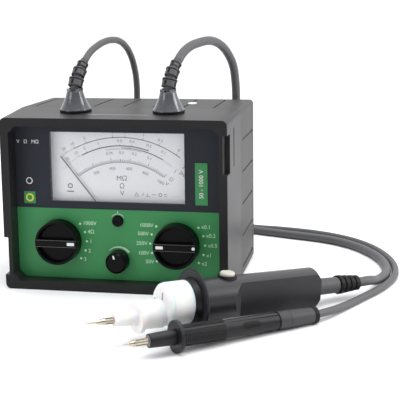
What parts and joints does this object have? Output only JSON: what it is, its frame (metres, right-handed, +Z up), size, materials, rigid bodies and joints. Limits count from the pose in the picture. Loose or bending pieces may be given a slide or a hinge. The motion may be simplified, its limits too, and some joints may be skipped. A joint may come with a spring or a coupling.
{
  "type": "insulation resistance tester",
  "caption": "Portable analogue insulation tester: box housing, recessed panel, moving-coil meter, rotary selectors, captive leads to a guarded push-button probe and a slim probe.",
  "frame": {"origin": "centre of the housing's underside, on the surface the housing stands on", "axes": "X to the right seen from the front, Y from the panel towards the back, Z up"},
  "size_m": [0.2875, 0.3309, 0.1752],
  "materials": {
    "case_front": "fine textured",
    "case_rear": "fine textured",
    "panel": "satin",
    "green_foil": "satin printed foil",
    "screw_steel": "zinc plated",
    "window": "clear moulded",
    "dial_white": "matt white",
    "black_plastic": "matt",
    "gloss_black": "polished",
    "magnet": "ground",
    "brass": "natural",
    "copper_coil": "enamelled winding",
    "aluminium": "satin",
    "phenolic": "laminate",
    "pot_blue": "moulded",
    "board_green": "solder mask",
    "transformer_tape": "taped winding",
    "capacitor_sleeve": "shrink sleeve",
    "fuse_glass": "clear",
    "cell_jacket": "printed jacket",
    "contact_steel": "nickel plated",
    "gland_black": "satin moulded",
    "boot_rubber": "matt",
    "grip_plastic": "fine textured",
    "white_nylon": "satin",
    "tip_steel": "bright",
    "button_cream": "satin",
    "small_black": "matt",
    "lead_rubber": "smooth"
  },
  "bodies": {
    "instrument": {"front_case": "case_front", "rear_case": "case_rear", "front_panel": "panel", "control_overlay": "green_foil", "label_plates": "green_foil", "case_screws": "screw_steel", "battery_door": "case_rear", "meter_window": "window", "meter_dial": "dial_white", "meter_case": "black_plastic", "meter_magnet": "magnet", "meter_yoke": "magnet", "meter_bridges": "brass", "hairsprings": "brass", "function_switch": "phenolic", "voltage_switch": "phenolic", "trim_pot": "pot_blue", "main_board": "board_green", "hv_transformer": "transformer_tape", "hv_capacitors": "capacitor_sleeve", "fuse_holder": "black_plastic", "fuse": "fuse_glass", "battery_holder": "black_plastic", "batteries": "cell_jacket", "battery_contacts": "contact_steel", "left_gland": "gland_black", "right_gland": "gland_black", "left_boot": "boot_rubber", "right_boot": "boot_rubber", "gland_nuts": "black_plastic", "probe_grip": "grip_plastic", "probe_guard": "grip_plastic", "nose_ring": "black_plastic", "probe_nose": "white_nylon", "probe_tip": "tip_steel", "button_bezel": "black_plastic", "button_switch": "phenolic", "button_spring": "contact_steel", "probe_boot": "boot_rubber", "small_tip": "tip_steel", "small_nose": "small_black", "small_handle": "small_black", "small_tail": "boot_rubber", "thick_lead_top": "lead_rubber", "thick_lead_coil": "lead_rubber", "thick_lead_end": "lead_rubber", "thin_lead_top": "lead_rubber", "thin_lead_coil": "lead_rubber", "thin_lead_end": "lead_rubber"},
    "function_selector": {"function_knob": "gloss_black", "function_shaft": "aluminium"},
    "voltage_selector": {"voltage_knob": "gloss_black", "voltage_shaft": "aluminium"},
    "trimmer": {"trim_knob": "gloss_black", "trim_shaft": "aluminium"},
    "zero_screw": {"zero_adjuster": "gloss_black"},
    "movement": {"pointer": "black_plastic", "moving_coil": "copper_coil"},
    "button": {"push_button": "button_cream"}
  },
  "joints": [
    {"name": "function_turn", "type": "hinge", "parent": "instrument", "child": "function_selector", "pos_m": [-0.0427, -0.04, 0.0335], "axis": [0, 1, 0], "range_deg": [-40, 40]},
    {"name": "voltage_turn", "type": "hinge", "parent": "instrument", "child": "voltage_selector", "pos_m": [0.0427, -0.04, 0.0335], "axis": [0, 1, 0], "range_deg": [-40, 40]},
    {"name": "trimmer_turn", "type": "hinge", "parent": "instrument", "child": "trimmer", "pos_m": [0, -0.04, 0.0205], "axis": [0, 1, 0], "range_deg": [-120, 150]},
    {"name": "zero_turn", "type": "hinge", "parent": "instrument", "child": "zero_screw", "pos_m": [0, -0.042, 0.049], "axis": [0, 1, 0], "range_deg": [-45, 45]},
    {"name": "pointer_sweep", "type": "hinge", "parent": "instrument", "child": "movement", "pos_m": [0, -0.039, 0.04], "axis": [0, 1, 0], "range_deg": [0, 76]},
    {"name": "button_press", "type": "slide", "parent": "instrument", "child": "button", "axis": [-0.0552, -0.0486, -0.9973], "range_m": [0, 0.002], "stiffness_N_per_m": 900, "springref_m": -0.001, "deforming": ["button_spring"]}
  ]
}
